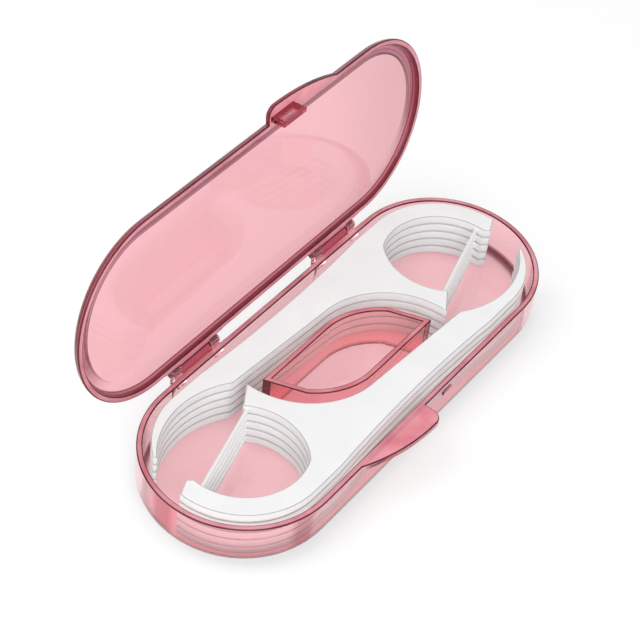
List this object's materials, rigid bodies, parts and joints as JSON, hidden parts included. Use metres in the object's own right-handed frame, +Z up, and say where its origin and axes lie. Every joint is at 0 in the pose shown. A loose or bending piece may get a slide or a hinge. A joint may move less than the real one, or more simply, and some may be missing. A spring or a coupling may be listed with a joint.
{
  "type": "dental floss dispenser",
  "caption": "Pocket travel case of clear plastic with a hinged, latching lid and a central divider, holding two nested stacks of white floss picks.",
  "frame": {"origin": "middle of the tray's flat underside, on the table", "axes": "+X along the case, -Y the latch side, +Y the hinge side, +Z up; the lid stands open on its stop"},
  "size_m": [0.092, 0.0444, 0.0485],
  "materials": {
    "case_plastic": "clear pink, glossy",
    "divider_plastic": "clear deeper pink, glossy",
    "pick_plastic": "white, smooth",
    "floss_thread": "white, waxed"
  },
  "bodies": {
    "case": {"base_tray": "case_plastic", "tray_divider": "divider_plastic"},
    "lid": {"lid_cover": "case_plastic"},
    "pick_a1": {"pick_a1": "pick_plastic", "floss_a1": "floss_thread"},
    "pick_a2": {"pick_a2": "pick_plastic", "floss_a2": "floss_thread"},
    "pick_a3": {"pick_a3": "pick_plastic", "floss_a3": "floss_thread"},
    "pick_a4": {"pick_a4": "pick_plastic", "floss_a4": "floss_thread"},
    "pick_a5": {"pick_a5": "pick_plastic", "floss_a5": "floss_thread"},
    "pick_b1": {"pick_b1": "pick_plastic", "floss_b1": "floss_thread"},
    "pick_b2": {"pick_b2": "pick_plastic", "floss_b2": "floss_thread"},
    "pick_b3": {"pick_b3": "pick_plastic", "floss_b3": "floss_thread"},
    "pick_b4": {"pick_b4": "pick_plastic", "floss_b4": "floss_thread"},
    "pick_b5": {"pick_b5": "pick_plastic", "floss_b5": "floss_thread"}
  },
  "joints": [
    {"name": "lid_hinge", "type": "hinge", "parent": "case", "child": "lid", "pos_m": [0, 0.01835, 0.01], "axis": [1, 0, 0], "range_deg": [0, 96.4]},
    {"name": "pick_a1_lift", "type": "slide", "parent": "case", "child": "pick_a1", "axis": [0, 0, 1], "range_m": [0, 0.016]},
    {"name": "pick_a2_lift", "type": "slide", "parent": "pick_a1", "child": "pick_a2", "axis": [0, 0, 1], "range_m": [0, 0.016]},
    {"name": "pick_a3_lift", "type": "slide", "parent": "pick_a2", "child": "pick_a3", "axis": [0, 0, 1], "range_m": [0, 0.016]},
    {"name": "pick_a4_lift", "type": "slide", "parent": "pick_a3", "child": "pick_a4", "axis": [0, 0, 1], "range_m": [0, 0.016]},
    {"name": "pick_a5_lift", "type": "slide", "parent": "pick_a4", "child": "pick_a5", "axis": [0, 0, 1], "range_m": [0, 0.016]},
    {"name": "pick_b1_lift", "type": "slide", "parent": "case", "child": "pick_b1", "axis": [0, 0, 1], "range_m": [0, 0.016]},
    {"name": "pick_b2_lift", "type": "slide", "parent": "pick_b1", "child": "pick_b2", "axis": [0, 0, 1], "range_m": [0, 0.016]},
    {"name": "pick_b3_lift", "type": "slide", "parent": "pick_b2", "child": "pick_b3", "axis": [0, 0, 1], "range_m": [0, 0.016]},
    {"name": "pick_b4_lift", "type": "slide", "parent": "pick_b3", "child": "pick_b4", "axis": [0, 0, 1], "range_m": [0, 0.016]},
    {"name": "pick_b5_lift", "type": "slide", "parent": "pick_b4", "child": "pick_b5", "axis": [0, 0, 1], "range_m": [0, 0.016]}
  ]
}
